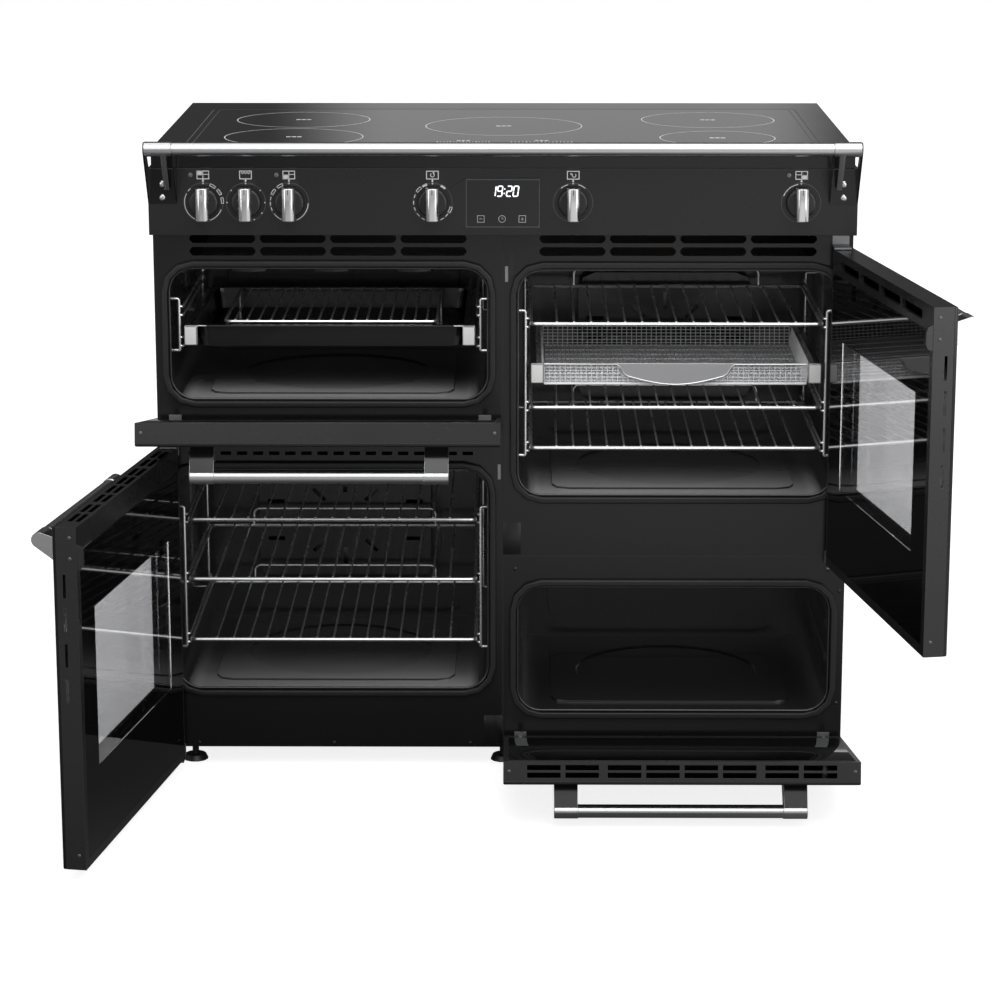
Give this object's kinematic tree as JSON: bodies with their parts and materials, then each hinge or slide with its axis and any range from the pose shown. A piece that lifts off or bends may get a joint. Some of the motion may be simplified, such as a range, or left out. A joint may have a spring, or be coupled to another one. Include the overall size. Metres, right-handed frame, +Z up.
{
  "type": "range cooker with double oven",
  "caption": "Freestanding electric range cooker with an induction hob, drop-down and side-hung oven doors, wire shelves, a grill pan and an air-fry basket.",
  "frame": {"origin": "on the floor, under the middle of the bounding box of the cooker with its doors open", "axes": "+X to the right across the front, +Y to the back, +Z up"},
  "size_m": [1.246, 1.0518, 0.9403],
  "materials": {
    "black_enamel_body": "satin black powder coat",
    "galvanised_steel": "dull zinc coated sheet",
    "black_frame": "semi gloss black enamel",
    "seal_rubber": "matt woven seal",
    "electronics": "matt",
    "display": "gloss",
    "hob_glass": "black glass ceramic, gloss",
    "coil_copper": "wound copper under a mica sheet",
    "foot_plastic": "matt",
    "chrome": "bright chrome plate",
    "steel_cover": "satin",
    "element": "oxidised tube",
    "lamp_glass": "pressed glass",
    "oven_enamel": "speckled grey vitreous enamel",
    "door_front": "gloss black enamel",
    "door_tray": "dark grey enamel",
    "door_glass": "black screened glass, gloss",
    "knob": "black skirt with a chromed grip",
    "basket_steel": "satin"
  },
  "bodies": {
    "cooker": {"chassis": "galvanised_steel", "side_panels": "black_enamel_body", "back_panel": "galvanised_steel", "mains_inlet": "electronics", "levelling_feet": "foot_plastic", "front_frame_left": "black_frame", "front_frame_top_right": "black_frame", "front_frame_bottom_right": "black_frame", "door_seals": "seal_rubber", "control_fascia": "black_enamel_body", "display_window": "display", "control_electronics": "electronics", "hob_surround": "black_enamel_body", "hob_glass": "hob_glass", "induction_coils": "coil_copper", "hand_rail": "chrome", "door_hinges": "galvanised_steel", "shelf_ladders": "chrome", "runner_channels": "galvanised_steel", "fan_motors": "galvanised_steel", "fan_covers": "steel_cover", "heating_elements": "element", "oven_lamps": "lamp_glass", "oven_liner_top_left": "oven_enamel", "oven_liner_bottom_left": "oven_enamel", "oven_liner_top_right": "oven_enamel", "oven_liner_bottom_right": "oven_enamel"},
    "door_top_left": {"door_panel_top_left": "door_front", "door_frame_top_left": "door_tray", "door_handle_top_left": "chrome"},
    "door_bottom_left": {"door_panel_bottom_left": "door_front", "door_frame_bottom_left": "door_tray", "door_handle_bottom_left": "chrome", "door_glass_bottom_left": "door_glass"},
    "door_top_right": {"door_panel_top_right": "door_front", "door_frame_top_right": "door_tray", "door_handle_top_right": "chrome", "door_glass_top_right": "door_glass"},
    "door_bottom_right": {"door_panel_bottom_right": "door_front", "door_frame_bottom_right": "door_tray", "door_handle_bottom_right": "chrome"},
    "knob_1": {"knob_1": "knob"},
    "knob_2": {"knob_2": "knob"},
    "knob_3": {"knob_3": "knob"},
    "knob_4": {"knob_4": "knob"},
    "knob_5": {"knob_5": "knob"},
    "knob_6": {"knob_6": "knob"},
    "shelf_bottom_left_1": {"shelf_bottom_left_1": "chrome"},
    "shelf_bottom_left_2": {"shelf_bottom_left_2": "chrome"},
    "shelf_bottom_left_3": {"shelf_bottom_left_3": "chrome"},
    "shelf_top_right_1": {"shelf_top_right_1": "chrome"},
    "shelf_top_right_2": {"shelf_top_right_2": "chrome"},
    "shelf_top_right_3": {"shelf_top_right_3": "chrome"},
    "basket": {"basket_slides": "chrome", "air_fry_basket": "basket_steel"},
    "grill_tray": {"pan_slides": "chrome", "grill_pan": "oven_enamel", "grill_trivet": "chrome"},
    "fan_bottom_left": {"fan_impeller_bottom_left": "steel_cover"},
    "fan_top_right": {"fan_impeller_top_right": "steel_cover"}
  },
  "joints": [
    {"name": "door_bottom_left_hinge", "type": "hinge", "parent": "cooker", "child": "door_bottom_left", "pos_m": [-0.483, -0.04908, 0.25475], "axis": [0, 0, -1], "range_deg": [-99.7, 0]},
    {"name": "door_top_right_hinge", "type": "hinge", "parent": "cooker", "child": "door_top_right", "pos_m": [0.483, -0.04908, 0.54825], "axis": [0, 0, 1], "range_deg": [-99.7, 0]},
    {"name": "door_top_left_hinge", "type": "hinge", "parent": "cooker", "child": "door_top_left", "pos_m": [-0.25, -0.05408, 0.517], "axis": [1, 0, 0], "range_deg": [-79.5, 0]},
    {"name": "door_bottom_right_hinge", "type": "hinge", "parent": "cooker", "child": "door_bottom_right", "pos_m": [0.25, -0.05408, 0.038], "axis": [1, 0, 0], "range_deg": [-79.5, 0]},
    {"name": "knob_1_turn", "type": "hinge", "parent": "cooker", "child": "knob_1", "pos_m": [-0.422, -0.07908, 0.849], "axis": [0, 1, 0], "range_deg": [0, 270]},
    {"name": "knob_2_turn", "type": "hinge", "parent": "cooker", "child": "knob_2", "pos_m": [-0.362, -0.07908, 0.849], "axis": [0, 1, 0], "range_deg": [0, 270]},
    {"name": "knob_3_turn", "type": "hinge", "parent": "cooker", "child": "knob_3", "pos_m": [-0.301, -0.07908, 0.849], "axis": [0, 1, 0], "range_deg": [0, 270]},
    {"name": "knob_4_turn", "type": "hinge", "parent": "cooker", "child": "knob_4", "pos_m": [-0.099, -0.07908, 0.849], "axis": [0, 1, 0], "range_deg": [0, 270]},
    {"name": "knob_5_turn", "type": "hinge", "parent": "cooker", "child": "knob_5", "pos_m": [0.099, -0.07908, 0.849], "axis": [0, 1, 0], "range_deg": [0, 270]},
    {"name": "knob_6_turn", "type": "hinge", "parent": "cooker", "child": "knob_6", "pos_m": [0.42, -0.07908, 0.849], "axis": [0, 1, 0], "range_deg": [0, 270]},
    {"name": "shelf_bottom_left_1_slide", "type": "slide", "parent": "cooker", "child": "shelf_bottom_left_1", "axis": [0, -1, 0], "range_m": [0, 0.28]},
    {"name": "shelf_bottom_left_2_slide", "type": "slide", "parent": "cooker", "child": "shelf_bottom_left_2", "axis": [0, -1, 0], "range_m": [0, 0.28]},
    {"name": "shelf_bottom_left_3_slide", "type": "slide", "parent": "cooker", "child": "shelf_bottom_left_3", "axis": [0, -1, 0], "range_m": [0, 0.28]},
    {"name": "shelf_top_right_1_slide", "type": "slide", "parent": "cooker", "child": "shelf_top_right_1", "axis": [0, -1, 0], "range_m": [0, 0.28]},
    {"name": "shelf_top_right_2_slide", "type": "slide", "parent": "cooker", "child": "shelf_top_right_2", "axis": [0, -1, 0], "range_m": [0, 0.28]},
    {"name": "shelf_top_right_3_slide", "type": "slide", "parent": "cooker", "child": "shelf_top_right_3", "axis": [0, -1, 0], "range_m": [0, 0.28]},
    {"name": "basket_slide", "type": "slide", "parent": "cooker", "child": "basket", "axis": [0, -1, 0], "range_m": [0, 0.27]},
    {"name": "grill_tray_slide", "type": "slide", "parent": "cooker", "child": "grill_tray", "axis": [0, -1, 0], "range_m": [0, 0.27]},
    {"name": "fan_bottom_left_spin", "type": "hinge", "parent": "cooker", "child": "fan_bottom_left", "pos_m": [-0.25, 0.36592, 0.288], "axis": [0, 1, 0], "continuous": true},
    {"name": "fan_top_right_spin", "type": "hinge", "parent": "cooker", "child": "fan_top_right", "pos_m": [0.25, 0.36592, 0.581], "axis": [0, 1, 0], "continuous": true}
  ]
}
